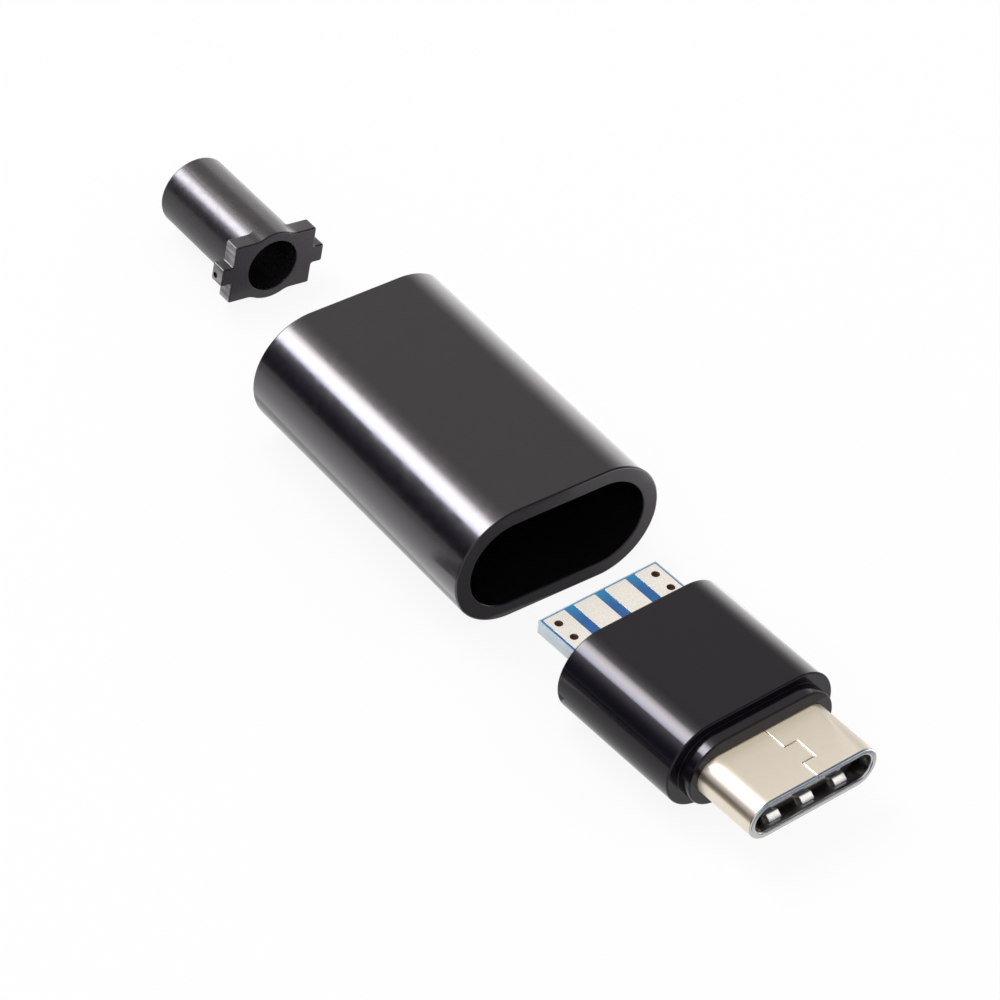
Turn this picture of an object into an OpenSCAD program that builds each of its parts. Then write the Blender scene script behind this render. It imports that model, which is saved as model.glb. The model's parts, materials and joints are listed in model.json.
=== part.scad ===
// Reversible cable plug of the self-assembly kind, laid out as its three loose pieces:
// the plug insert, the slide-on housing and the strain relief.
// Millimetres. +X is the mating direction, +Z is up, and the origin is the centre of the plug's mouth.

/* [Shell] */
// Width of the steel shell
shell_w = 8.25; // [8.0:0.05:8.5]
// Height of the steel shell
shell_h = 2.4; // [2.3:0.05:2.6]
// Thickness of the shell's sheet
shell_wall = 0.38; // [0.3:0.02:0.42]
// Length of shell that shows in front of the collar
shell_reach = 3.9; // [3.4:0.1:6.7]
// Length of shell held inside the overmold
shell_root = 2.6; // [2.2:0.1:3.2]
// Radius of the rim at the mouth
shell_rim_r = 0.12; // [0.05:0.01:0.14]
// Gap of the folded seam
seam_gap = 0.04; // [0.03:0.01:0.1]
// Sideways place of the seam
seam_y = 0.05; // [-0.5:0.05:0.5]
// Width of the seam's key
key_w = 0.84; // [0.4:0.02:1.4]
// Length of the seam's key
key_l = 1.33; // [0.8:0.01:1.8]
// Distance from the mouth to the key
key_start = 1.13; // [0.6:0.01:1.4]

/* [Overmold] */
// Width of the moulded body
overmold_w = 10.7; // [10.2:0.1:12]
// Height of the moulded body
overmold_h = 5.1; // [4.8:0.1:6]
// Length of the moulded body
overmold_l = 8.44; // [7.5:0.02:11]
// Radius of the body's front and rear edges
overmold_edge_r = 0.1; // [0.05:0.01:0.3]
// Width of the collar round the shell
collar_w = 9.3; // [8.9:0.1:9.8]
// Height of the collar
collar_h = 4.1; // [3.6:0.1:4.6]
// Length of the collar
collar_l = 0.85; // [0.4:0.05:1.5]
// Radius of the collar's front edge
collar_edge_r = 0.1; // [0.05:0.01:0.3]

/* [Slot and contacts] */
// Depth of the mouth in front of the insulator
mouth_depth = 1.2; // [1.0:0.05:1.4]
// Length of the insulator
insulator_l = 4.2; // [4.0:0.05:4.6]
// Wall of the insulator beyond each end of the slot
slot_side = 0.345; // [0.33:0.005:0.4]
// Height of the slot
slot_h = 0.86; // [0.8:0.02:0.9]
// Length of the slot
slot_l = 3.6; // [3.4:0.05:3.8]
// Pitch of the contacts
contact_pitch = 0.5; // [0.48:0.01:0.5]
// Width of a contact
contact_w = 0.26; // [0.2:0.01:0.28]
// Thickness of a contact
contact_t = 0.14; // [0.1:0.01:0.15]
// Side clearance of a contact in its channel
channel_clear = 0.04; // [0.03:0.01:0.05]
// Length of a contact's tail on the board
tail_l = 1.4; // [0.8:0.1:1.8]

/* [Springs and latch] */
// Thickness of the shielding springs
spring_t = 0.1; // [0.08:0.01:0.12]
// Clearance of the shielding springs from the shell's rounds
spring_edge = 0.075; // [0.05:0.005:0.4]
// Width of a spring finger
finger_w = 0.75; // [0.5:0.05:1.0]
// Pitch of the spring fingers
finger_pitch = 2.14; // [1.6:0.02:2.3]
// How far a finger rises off the shell's wall
finger_rise = 0.34; // [0.2:0.02:0.4]
// Thickness of the latch plate
latch_t = 0.2; // [0.16:0.02:0.24]
// Width of a latch arm
latch_arm_w = 0.22; // [0.18:0.02:0.24]
// How far a latch nose reaches into the slot
latch_nose = 0.21; // [0.12:0.01:0.3]

/* [Board] */
// Width of the board
board_w = 7.66; // [7.0:0.02:8.2]
// Thickness of the board
board_t = 0.8; // [0.6:0.1:1.0]
// Length of board behind the overmold
board_out = 3.42; // [3.2:0.02:5]
// Height of the board's middle above the plug's axis
board_lift = 0.64; // [0.5:0.02:0.8]
// Length of the solder pads
pad_l = 3.0; // [2.4:0.1:3.1]
// Thickness of the solder pads
pad_t = 0.05; // [0.03:0.01:0.1]
// Gap between the pads
pad_gap = 0.6; // [0.4:0.02:0.8]
// Border between the pads and the board's edge
pad_inset = 0.16; // [0.1:0.01:0.3]
// Diameter of the vias in the outer pads
via_d = 0.45; // [0.3:0.01:0.6]
// Distance from the board's rear edge to the first via
via_edge = 0.8; // [0.6:0.02:1.0]
// Distance between the vias of a pad
via_pitch = 1.2; // [0.8:0.01:1.3]
// How far the vias lie outward of the pad's middle
via_out = 0.18; // [0:0.01:0.3]

/* [Housing] */
// Length of the housing
housing_l = 18.63; // [16.5:0.01:24]
// Wall of the housing
housing_wall = 0.93; // [0.7:0.01:1.4]
// Thickness of the housing's rear wall
housing_back = 1.2; // [0.8:0.1:2]
// Clearance of the overmold in the housing
slide_clear = 0.06; // [0.04:0.01:0.15]
// Radius of the housing's front and rear edges
housing_edge_r = 0.12; // [0.06:0.01:0.3]

/* [Strain relief] */
// Outer diameter of the tube
relief_d = 4.28; // [4.0:0.02:4.6]
// Bore for the cable
relief_bore = 3.14; // [2.6:0.02:3.4]
// Length of the tube with its flange
relief_l = 7.94; // [6:0.02:12]
// Clearance of the tube in the housing's rear hole
relief_clear = 0.08; // [0.04:0.01:0.2]
// Thickness of the flange
flange_t = 0.98; // [0.8:0.02:1.6]
// Width of the flange across its ears
ear_w = 5.3; // [5.0:0.05:6]
// Height of the flange's ears
ear_h = 3.62; // [2.8:0.02:3.8]
// How far the end teeth stand out past the ears
tooth_reach = 0.68; // [0.3:0.02:0.8]
// Height of the end teeth
tooth_h = 1.1; // [0.8:0.05:1.8]
// Fillet between the ears and the tube
relief_fillet = 1.2; // [0.6:0.05:1.6]
// Chamfer of the tube's rear edge
relief_chamfer = 0.1; // [0.05:0.01:0.25]
// Diameter of the moulding gate's mark on one tooth
gate_d = 0.36; // [0.2:0.02:0.5]
// Depth of the gate's mark
gate_depth = 0.12; // [0.05:0.01:0.2]

/* [Layout] */
// Gap between the board and the housing
housing_gap = 3.92; // [1:0.02:20]
// Sideways shift of the housing's mouth
housing_shift = 0.66; // [-2:0.02:2]
// Turn of the housing on the table
housing_yaw = -3.44; // [-10:0.02:10]
// Gap between the housing and the strain relief
relief_gap = 9.31; // [2:0.01:20]
// Sideways shift of the strain relief
relief_shift = 3.5; // [-4:0.01:4]
// Turn of the strain relief on the table
relief_yaw = -3.2; // [-10:0.1:10]

/* [Hidden] */
$fn = 64;
eps = 0.01;
black = [0.12, 0.11, 0.13];
nickel = [0.8, 0.77, 0.72];
gold = [0.83, 0.68, 0.32];
board_blue = [0.16, 0.36, 0.6];
tin = [0.88, 0.86, 0.8];

// Depths behind the mouth, in the order that the pieces follow each other
overmold_front = shell_reach + collar_l;
overmold_end = overmold_front + overmold_l;
shell_end = overmold_front + shell_root;
collar_root = 1.7;
insulator_end = mouth_depth + insulator_l;
holder_overhang = 0.4;
holder_end = shell_end + holder_overhang;
tail_bend = 0.15;
tail_rise = 0.6;
tail_room = 0.2;
board_front = holder_end + tail_rise + tail_room;
board_end = overmold_end + board_out;
tail_end = board_front + tail_l;

// The space inside the shell, and the slot in it
in_w = shell_w - 2 * shell_wall;
in_h = shell_h - 2 * shell_wall;
slot_w = in_w - 2 * slot_side;

// Contacts: spring beams in channels above and below the slot, tails on the board's two faces
top = 1;
bottom = -1;
row_a = [1, 4, 5, 6, 7, 9, 12];
row_b = [1, 4, 5, 9, 12];
row_middle = 6.5;
channel_roof = 0.12;
channel_play = 0.03;
beam_z = in_h / 2 - channel_roof - channel_play - contact_t / 2;
hump_reach = 0.03;
hump_z = slot_h / 2 - hump_reach;
channel_setback = 0.6;
channel_front = mouth_depth + channel_setback;
tip_clear = 0.1;
contact_tip = channel_front + tip_clear;
hump_lead = 0.55;
hump_depth = contact_tip + hump_lead;
hump_tail = 0.95;
beam_depth = hump_depth + hump_tail;
channel_w = contact_w + 2 * channel_clear;

// Shielding springs: a strip seated between insulator and shell, with fingers in the mouth
spring_seat_l = 0.5;
spring_side_clear = 0.05;
spring_w = in_w - in_h - 2 * spring_edge;
finger_step = 0.25;
finger_foot = mouth_depth - finger_step;
finger_top = finger_foot - finger_step;
finger_ramp = 0.34;
finger_tip = finger_top - finger_ramp;
finger_tip_clear = 0.03;
finger_count = 3;

// Latch: a plate between the contact holders, with an arm along each end of the slot
arm_bow = 0.07;
arm_in = slot_w / 2 - arm_bow;
arm_out = arm_in + latch_arm_w;
arm_setback = 1.4;
arm_front = mouth_depth + arm_setback;
arm_lead = 0.3;
nose_l = 0.5;
latch_clear = 0.04;
latch_channel_front = arm_front - arm_lead;
plate_half = in_w / 2 - latch_clear;

// Board and pads
board_top = board_lift + board_t / 2;
board_bottom = board_lift - board_t / 2;
pad_count = 4;
pad_w = (board_w - 2 * pad_inset - (pad_count - 1) * pad_gap) / pad_count;
pad_pitch = pad_w + pad_gap;
via_y = (pad_count - 1) / 2 * pad_pitch + via_out;

// Housing and strain relief
cavity_w = overmold_w + 2 * slide_clear;
cavity_h = overmold_h + 2 * slide_clear;
housing_w = cavity_w + 2 * housing_wall;
housing_h = cavity_h + 2 * housing_wall;
housing_hole_d = relief_d + 2 * relief_clear;
table_z = -overmold_h / 2;
housing_x = -board_end - housing_gap;
relief_x = housing_x - housing_l - relief_gap;
// The tube lies on the table and has rolled until the corner of one ear meets it
relief_roll = atan(ear_h / ear_w) - asin(relief_d / norm([ear_w, ear_h]));
// Middle of an ear's fillet, and the share of the way out to it at which the fillet meets the tube
fillet_z = ear_h / 2 + relief_fillet;
fillet_y = sqrt(pow(relief_d / 2 + relief_fillet, 2) - pow(fillet_z, 2));
fillet_touch = relief_d / (relief_d + 2 * relief_fillet);
fillet_root = ear_h / 2 - 0.2;
// Place of the gate's mark, from the middle of the tooth's end face
gate_back = 0.14;
gate_drop = 0.13;

// Outline of a bent strip of sheet of thickness t along a path
function side_of(a, b) = let (d = b - a) [-d[1], d[0]] / norm(d);
function bend_at(path, i) =
    i == 0 ? side_of(path[0], path[1]) :
    i == len(path) - 1 ? side_of(path[i - 1], path[i]) :
    let (n = side_of(path[i - 1], path[i]), m = side_of(path[i], path[i + 1])) (n + m) / (1 + n * m);
function ribbon(path, t) = concat(
    [for (i = [0 : len(path) - 1]) path[i] + bend_at(path, i) * t / 2],
    [for (i = [len(path) - 1 : -1 : 0]) path[i] - bend_at(path, i) * t / 2]
);

// Section with full-round ends, across the plug's axis
module stadium(w, h) {
    square([w - h, h], center = true);
    for (side = [-1, 1]) translate([side * (w - h) / 2, 0]) circle(d = h);
}

// Extrudes a section between two depths behind the mouth
module span(from, to) {
    translate([-to, 0, 0]) rotate([90, 0, 90]) linear_extrude(to - from) children();
}

// Extrudes a side view across the plug, centred
module across(w) {
    translate([0, w / 2, 0]) rotate([90, 0, 0]) linear_extrude(w) children();
}

// Side view of a body of length l and height h with rounded edges
module side_profile(l, h, r) {
    square([l - 2 * r, h], center = true);
    square([l, h - 2 * r], center = true);
    for (u = [-1, 1], v = [-1, 1]) translate([u * (l / 2 - r), v * (h / 2 - r)]) circle(r);
}

// Body of stadium section between two depths, with rounded front and rear edges
module pill(w, h, from, to, r) {
    l = to - from;
    translate([-(from + to) / 2, 0, 0]) {
        across(w - h) side_profile(l, h, r);
        for (side = [0, 1]) mirror([0, side, 0]) translate([0, (w - h) / 2, 0])
            rotate([0, 90, 0]) rotate_extrude(angle = 180) intersection() {
                rotate(90) side_profile(l, h, r);
                translate([0, -l]) square([h, 2 * l]);
            }
    }
}

function contact_y(row, place) = row * (row_middle - place) * contact_pitch;
function tail_z(row) = row == top ? board_top + contact_t / 2 : board_bottom - contact_t / 2;
function contact_path(row) = [
    [-contact_tip, row * beam_z],
    [-hump_depth, row * hump_z],
    [-beam_depth, row * beam_z],
    [-holder_end - tail_bend, row * beam_z],
    [-holder_end - tail_rise, tail_z(row)],
    [-tail_end, tail_z(row)]
];

module contact(row, place) {
    color(gold) translate([0, contact_y(row, place), 0]) across(contact_w)
        polygon(ribbon(contact_path(row), contact_t));
}

module all_contacts() {
    for (place = row_a) contact(top, place);
    for (place = row_b) contact(bottom, place);
}

module channels(row, places) {
    roof = in_h / 2 - channel_roof;
    for (place = places) translate([0, contact_y(row, place), 0]) span(channel_front, insulator_end + eps)
        translate([-channel_w / 2, row == top ? 0 : -roof]) square([channel_w, roof]);
}

module shell() {
    seam = [
        [eps, seam_y], [-key_start, seam_y], [-key_start, seam_y + key_w],
        [-key_start - key_l, seam_y + key_w], [-key_start - key_l, seam_y], [-shell_end - eps, seam_y]
    ];
    color(nickel) difference() {
        pill(shell_w, shell_h, 0, shell_end, shell_rim_r);
        span(-eps, shell_end + eps) stadium(in_w, in_h);
        linear_extrude(shell_h) polygon(ribbon(seam, seam_gap));
    }
}

module insulator() {
    color(black) difference() {
        span(mouth_depth, insulator_end) stadium(in_w, in_h);
        span(mouth_depth - eps, mouth_depth + slot_l) square([slot_w, slot_h], center = true);
        channels(top, row_a);
        channels(bottom, row_b);
        for (side = [-1, 1]) span(mouth_depth - eps, mouth_depth + spring_seat_l)
            translate([0, side * in_h / 2])
                square([spring_w + 2 * spring_side_clear, 2 * spring_t], center = true);
        for (side = [-1, 1]) span(latch_channel_front, insulator_end + eps)
            translate([side * in_w / 2, 0])
                square([in_w - 2 * (arm_in - latch_nose - latch_clear), latch_t + 2 * latch_clear], center = true);
    }
}

module contact_holder(row) {
    color(black) difference() {
        span(insulator_end, holder_end) intersection() {
            stadium(in_w, in_h);
            translate([-in_w / 2, row == top ? latch_t / 2 : -in_h]) square([in_w, in_h - latch_t / 2]);
        }
        for (place = row == top ? row_a : row_b) contact(row, place);
    }
}

function latch_side(side) = [
    [-holder_end, side * plate_half], [-insulator_end, side * plate_half], [-insulator_end, side * arm_out],
    [-arm_front, side * arm_out], [-arm_front, side * arm_in],
    [-arm_front - nose_l / 2, side * (arm_in - latch_nose)],
    [-arm_front - nose_l, side * arm_in], [-insulator_end, side * arm_in]
];

module latch() {
    other_side = latch_side(-1);
    outline = concat(latch_side(1), [for (i = [len(other_side) - 1 : -1 : 0]) other_side[i]]);
    color(nickel) translate([0, 0, -latch_t / 2]) linear_extrude(latch_t) polygon(outline);
}

module emc_spring(row) {
    seat_z = row * (in_h - spring_t) / 2;
    rise_z = row * (in_h / 2 - finger_rise);
    tip_z = seat_z - row * finger_tip_clear;
    color(nickel) {
        translate([-mouth_depth - spring_seat_l / 2, 0, seat_z])
            cube([spring_seat_l, spring_w, spring_t], center = true);
        for (i = [0 : finger_count - 1])
            translate([0, (i - (finger_count - 1) / 2) * finger_pitch, 0]) across(finger_w)
                polygon(ribbon([
                    [-mouth_depth - spring_seat_l / 2, seat_z], [-finger_foot, seat_z],
                    [-finger_top, rise_z], [-finger_tip, tip_z]
                ], spring_t));
    }
}

module overmold() {
    color(black) difference() {
        union() {
            pill(overmold_w, overmold_h, overmold_front, overmold_end, overmold_edge_r);
            pill(collar_w, collar_h, shell_reach, overmold_front + collar_root, collar_edge_r);
        }
        span(0, shell_end) stadium(shell_w, shell_h);
        span(shell_end - eps, holder_end) stadium(in_w, in_h);
        span(board_front, board_end) translate([0, board_lift]) square([board_w, board_t], center = true);
        all_contacts();
    }
}

module vias() {
    for (side = [-1, 1], i = [0, 1])
        translate([-board_end + via_edge + i * via_pitch, side * via_y, board_bottom - eps])
            cylinder(d = via_d, h = board_t + pad_t + 2 * eps);
}

module pcb() {
    color(board_blue) difference() {
        span(board_front, board_end) translate([0, board_lift]) square([board_w, board_t], center = true);
        vias();
    }
}

module solder_pad(place) {
    color(tin) difference() {
        translate([-board_end + pad_inset, (place - (pad_count + 1) / 2) * pad_pitch - pad_w / 2, board_top])
            cube([pad_l, pad_w, pad_t]);
        vias();
    }
}

module housing() {
    color(black) translate([housing_x, housing_shift, table_z + housing_h / 2]) rotate([0, 0, housing_yaw])
        difference() {
            pill(housing_w, housing_h, 0, housing_l, housing_edge_r);
            span(-eps, housing_l - housing_back) stadium(cavity_w, cavity_h);
            rotate([0, -90, 0]) cylinder(d = housing_hole_d, h = housing_l + eps);
        }
}

module ear_fillet() {
    difference() {
        polygon([
            [fillet_y, fillet_z] * fillet_touch, [fillet_y * fillet_touch, fillet_root],
            [fillet_y, fillet_root], [fillet_y, ear_h / 2]
        ]);
        translate([fillet_y, fillet_z]) circle(relief_fillet);
    }
}

module strain_relief() {
    color(black) translate([relief_x, relief_shift, table_z + relief_d / 2])
        rotate([0, 0, relief_yaw]) rotate([relief_roll, 0, 0]) difference() {
            union() {
                rotate([0, -90, 0]) rotate_extrude() polygon([
                    [0, 0], [relief_d / 2, 0], [relief_d / 2, relief_l - relief_chamfer],
                    [relief_d / 2 - relief_chamfer, relief_l], [0, relief_l]
                ]);
                span(0, flange_t) {
                    square([ear_w, ear_h], center = true);
                    square([ear_w + 2 * tooth_reach, tooth_h], center = true);
                    for (side = [0, 1], under = [0, 1]) mirror([side, 0]) mirror([0, under]) ear_fillet();
                }
            }
            translate([eps, 0, 0]) rotate([0, -90, 0]) cylinder(d = relief_bore, h = relief_l + 2 * eps);
            translate([-flange_t / 2 - gate_back, -ear_w / 2 - tooth_reach, -gate_drop])
                rotate([90, 0, 0]) cylinder(d = gate_d, h = 2 * gate_depth, center = true);
        }
}

housing();
strain_relief();
overmold();
shell();
insulator();
contact_holder(top);  // upper_contact_holder
contact_holder(bottom);  // lower_contact_holder
latch();
emc_spring(top);  // emc_spring_top
emc_spring(bottom);  // emc_spring_bottom
pcb();
solder_pad(1);  // solder_pad_1
solder_pad(2);  // solder_pad_2
solder_pad(3);  // solder_pad_3
solder_pad(4);  // solder_pad_4
contact(top, 1);  // contact_a1
contact(top, 4);  // contact_a4
contact(top, 5);  // contact_a5
contact(top, 6);  // contact_a6
contact(top, 7);  // contact_a7
contact(top, 9);  // contact_a9
contact(top, 12);  // contact_a12
contact(bottom, 1);  // contact_b1
contact(bottom, 4);  // contact_b4
contact(bottom, 5);  // contact_b5
contact(bottom, 9);  // contact_b9
contact(bottom, 12);  // contact_b12
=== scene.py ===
"""Cable plug for self-assembly: the plug insert, its slide-on housing and the strain relief.

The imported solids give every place. The classes below rebuild the pieces that show, with rounded
edges, folded sheet and tinned pads, and give each piece its finish. Sizes are in millimetres, and
a finished piece is put into the frame in metres.
"""

import json
import logging
import math
from dataclasses import dataclass
from enum import Enum
from functools import cached_property
from typing import Any, NamedTuple, Sequence

import bmesh
import bpy
from mathutils import Matrix, Vector


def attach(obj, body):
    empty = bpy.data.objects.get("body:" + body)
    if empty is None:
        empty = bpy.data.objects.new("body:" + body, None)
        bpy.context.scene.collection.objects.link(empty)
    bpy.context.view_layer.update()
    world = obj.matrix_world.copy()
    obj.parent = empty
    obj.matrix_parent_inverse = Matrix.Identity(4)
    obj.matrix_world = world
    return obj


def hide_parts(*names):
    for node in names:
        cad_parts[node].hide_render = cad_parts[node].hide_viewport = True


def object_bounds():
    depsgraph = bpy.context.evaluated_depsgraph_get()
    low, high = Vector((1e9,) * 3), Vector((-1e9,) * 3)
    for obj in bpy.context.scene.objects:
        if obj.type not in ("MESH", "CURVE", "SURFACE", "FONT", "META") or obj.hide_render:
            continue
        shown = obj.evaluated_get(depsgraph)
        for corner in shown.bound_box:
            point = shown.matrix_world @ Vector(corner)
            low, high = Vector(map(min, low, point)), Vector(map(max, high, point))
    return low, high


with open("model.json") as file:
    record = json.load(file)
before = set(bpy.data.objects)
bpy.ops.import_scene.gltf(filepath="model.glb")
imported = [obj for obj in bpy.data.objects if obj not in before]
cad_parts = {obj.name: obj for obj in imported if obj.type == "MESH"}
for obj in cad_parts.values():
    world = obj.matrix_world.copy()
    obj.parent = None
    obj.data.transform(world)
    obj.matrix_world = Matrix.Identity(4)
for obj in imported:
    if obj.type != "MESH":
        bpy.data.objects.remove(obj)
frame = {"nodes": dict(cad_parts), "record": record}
cad_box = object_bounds()

Skin = bmesh.types.BMesh
Piece = bpy.types.Object
Material = bpy.types.Material
Socket = bpy.types.NodeSocket
Sockets = bpy.types.bpy_prop_collection
Pair = tuple[float, float]
Triple = tuple[float, float, float]
Colour = Triple
Stops = tuple[tuple[float, Colour], ...]

MM = 0.001
BODY = "root"

# Steps of a half circle, a rounded edge, a straight run and a bevel.
ARC_STEPS = 48
ROUND_STEPS = 6
STRAIGHT_STEPS = 8
BEVEL_STEPS = 3

# Sides of a drilling rod and of the pads' holes, and the length of the bit that drills the pads.
ROD_SIDES = 48
HOLE_SIDES = 40
HOLE_REACH = 1.0

# Angles in degrees: the least of a rounded edge and of the shell's, and the most within one flat.
SHARP_ANGLE = 50
FOLD_ANGLE = 60
FLAT_ANGLE = 1

# Points closer than WELD become one. A face looks along an axis if its normal has FACING of it, or more.
# AREA_WEIGHT is how far large faces rule the smooth shading.
WELD = 0.0002
FACING = 0.9
AREA_WEIGHT = 80

# Detail of a clouded and of a fine noise, and the middle part of a noise's range.
CLOUDED = 2.0
FINE = 3.0
NOISE_MIDDLE = {"From Min": 0.3, "From Max": 0.7}

# Sockets of a mix of two colours.
MIX_FIRST = 6
MIX_SECOND = 7
MIX_RESULT = 2

WHITE = (1, 1, 1, 1)
QUARTER_TURN = 0.25

# Height of the cards that lie on the table.
ON_TABLE = -2.54

log = logging.getLogger("cable_plug")


class Face(Enum):
    """The side of an edge on which its flat face lies."""

    INSIDE = -1
    OUTSIDE = 1


class Wall(Enum):
    """The way along the piece in which a wall runs from its edge."""

    AHEAD = 1
    BEHIND = -1


class Side(Enum):
    """The half of the plug in which a spring or a contact lies."""

    TOP = 1
    BOTTOM = -1


class Slot(Enum):
    """The record's material slots, one for each kind of rebuilt piece."""

    PLASTIC = "black_plastic"
    SHELL = "nickel_shell"
    SPRING = "spring_steel"
    CONTACT = "gold_contact"
    BOARD = "blue_board"
    PAD = "tinned_pad"


class Station(NamedTuple):
    """A round-ended section at one place along a piece."""

    x: float
    width: float
    height: float


class Arc(NamedTuple):
    """An arc of an outline, whose ends run on straight to the arcs beside it.

    A radius under zero stands for a hollow corner, and the angles are in degrees.
    """

    y: float
    z: float
    radius: float
    start: float
    end: float
    steps: int = ROUND_STEPS

    def points(self, inset: float) -> list[Vector]:
        """Points along the arc.

        Args:
            inset: How far the whole outline is drawn in.

        Returns:
            The points, as (y, z).
        """
        sweep = math.radians(self.end - self.start)
        turns = [math.radians(self.start) + sweep * i / self.steps for i in range(self.steps + 1)]
        reach = self.radius - inset
        return [Vector((self.y + reach * math.cos(turn), self.z + reach * math.sin(turn))) for turn in turns]


def section(width: float, height: float) -> list[Pair]:
    """Points round a section with full-round ends, anticlockwise as seen from the front.

    Args:
        width: Width over the round ends.
        height: Height, and twice the radius of the ends.

    Returns:
        The points, as (y, z).
    """
    radius = height / 2
    reach = width / 2 - radius
    points = []
    for side in (1, -1):
        for step in range(ARC_STEPS + 1):
            angle = math.pi * (step / ARC_STEPS - 0.5)
            points.append((side * (reach + radius * math.cos(angle)), side * radius * math.sin(angle)))
    return points


def ring(x: float, points: Sequence[Pair | Vector]) -> list[Vector]:
    """A section's points at one place along the piece."""
    return [Vector((x, y, z)) for y, z in points]


def rounded_edge(place: float, size: Pair, radius: float, face: Face, wall: Wall) -> list[Station]:
    """Stations over a rounded edge, from the wall to the flat face.

    Args:
        place: The edge's place along the piece.
        size: Width and height of the sharp edge.
        radius: Radius of the rounding.
        face: The side of the edge on which the face lies.
        wall: The way that the wall runs from the edge.

    Returns:
        The stations in order.
    """
    stations = []
    for step in range(ROUND_STEPS + 1):
        angle = math.pi / 2 * step / ROUND_STEPS
        spread = 2 * face.value * radius * (1 - math.cos(angle))
        x = place + wall.value * radius * (1 - math.sin(angle))
        stations.append(Station(x, size[0] + spread, size[1] + spread))
    return stations


def loft(rings: Sequence[Sequence[Vector]], closed: bool = False) -> Skin:
    """Joins rings of equal length into one closed skin.

    Args:
        rings: The rings in order.
        closed: Whether the last ring joins the first. Otherwise both ends are capped.

    Returns:
        The skin, welded and with its faces outwards.
    """
    bm = bmesh.new()
    loops = [[bm.verts.new(point) for point in points] for points in rings]
    pairs = list(zip(loops, loops[1:]))
    if closed:
        pairs.append((loops[-1], loops[0]))
    else:
        bm.faces.new(loops[0])
        bm.faces.new(loops[-1])
    for first, second in pairs:
        for i in range(len(first)):
            bm.faces.new((first[i - 1], first[i], second[i], second[i - 1]))
    bmesh.ops.remove_doubles(bm, verts=bm.verts, dist=WELD)
    bmesh.ops.dissolve_degenerate(bm, edges=bm.edges, dist=WELD)
    bmesh.ops.recalc_face_normals(bm, faces=bm.faces)
    return bm


def rod(start: Vector, end: Vector, radius: float) -> Skin:
    """Makes a round rod for drilling.

    Args:
        start: Middle of one end.
        end: Middle of the other end.
        radius: Radius of the rod.

    Returns:
        The rod's skin.
    """
    way = (end - start).normalized()
    across = way.orthogonal().normalized()
    other = way.cross(across)
    turns = [2 * math.pi * i / ROD_SIDES for i in range(ROD_SIDES)]
    spokes = [radius * (across * math.cos(turn) + other * math.sin(turn)) for turn in turns]
    return loft([[point + spoke for spoke in spokes] for point in (start, end)])


def object_of(bm: Skin, name: str) -> Piece:
    """Puts a skin into the scene.

    Args:
        bm: The skin, which is used up.
        name: The object's name.

    Returns:
        The object.
    """
    mesh = bpy.data.meshes.new(name)
    bm.to_mesh(mesh)
    bm.free()
    piece = bpy.data.objects.new(name, mesh)
    bpy.context.scene.collection.objects.link(piece)
    return piece


def add_bevel(piece: Piece, width: float, weighted: bool = False) -> None:
    """Adds a rounding of the sharp edges.

    Args:
        piece: The object.
        width: Width of the rounding.
        weighted: Whether the edges' own weights, and not their angles, say which are rounded.
    """
    bevel = piece.modifiers.new("round", "BEVEL")
    bevel.width = width
    bevel.segments = BEVEL_STEPS
    bevel.limit_method = "WEIGHT" if weighted else "ANGLE"
    bevel.angle_limit = math.radians(SHARP_ANGLE)
    bevel.miter_outer = "MITER_ARC"
    bevel.use_clamp_overlap = True


def drill(piece: Piece, cutters: Sequence[Skin]) -> list[Piece]:
    """Adds a cut by each cutter.

    Args:
        piece: The object that is cut.
        cutters: The cutters' skins.

    Returns:
        The cutters' objects, for removal.
    """
    tools = []
    for number, cutter in enumerate(cutters):
        tool = object_of(cutter, f"{piece.name}_tool_{number}")
        cut = piece.modifiers.new("drill", "BOOLEAN")
        cut.object = tool
        cut.solver = "EXACT"
        tools.append(tool)
    return tools


def dress(piece: Piece, *materials: Material) -> None:
    """Gives a piece its materials.

    Args:
        piece: The object.
        *materials: The materials, in the order of its faces' indices.
    """
    indices = [face.material_index for face in piece.data.polygons]
    piece.data.materials.clear()
    for material in materials:
        piece.data.materials.append(material)
    piece.data.polygons.foreach_set("material_index", indices)


def settle(piece: Piece, place: Matrix = Matrix.Identity(4), tools: Sequence[Piece] = ()) -> None:
    """Applies a piece's modifiers, smooths it and puts it into the frame in metres.

    Args:
        piece: The object, in millimetres and its own axes.
        place: Its place in the frame, in millimetres.
        tools: Objects that only its modifiers need.
    """
    weigh = piece.modifiers.new("flats", "WEIGHTED_NORMAL")
    weigh.mode = "FACE_AREA"
    weigh.weight = AREA_WEIGHT
    weigh.keep_sharp = False
    for face in piece.data.polygons:
        face.use_smooth = True
    bpy.context.view_layer.update()
    shaped = piece.evaluated_get(bpy.context.evaluated_depsgraph_get())
    mesh = bpy.data.meshes.new_from_object(shaped)
    mesh.name = piece.name
    piece.modifiers.clear()
    rough = piece.data
    piece.data = mesh
    bpy.data.meshes.remove(rough)
    painted = [material for material in mesh.materials if material]
    if painted:
        dress(piece, *painted)
        mesh.polygons.foreach_set("material_index", [0] * len(mesh.polygons))
    mesh.transform(Matrix.Scale(MM, 4) @ place)
    for tool in tools:
        bpy.data.objects.remove(tool)


def adopt(piece: Piece, slot: Slot, *nodes: str) -> None:
    """Lets a finished piece stand for solids of the frame.

    Args:
        piece: The object.
        slot: Not used.
        *nodes: Names of the solids.
    """
    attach(piece, BODY)
    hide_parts(*nodes)
    log.info("%s stands for %s with %d faces", piece.name, ", ".join(nodes), len(piece.data.polygons))


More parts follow.
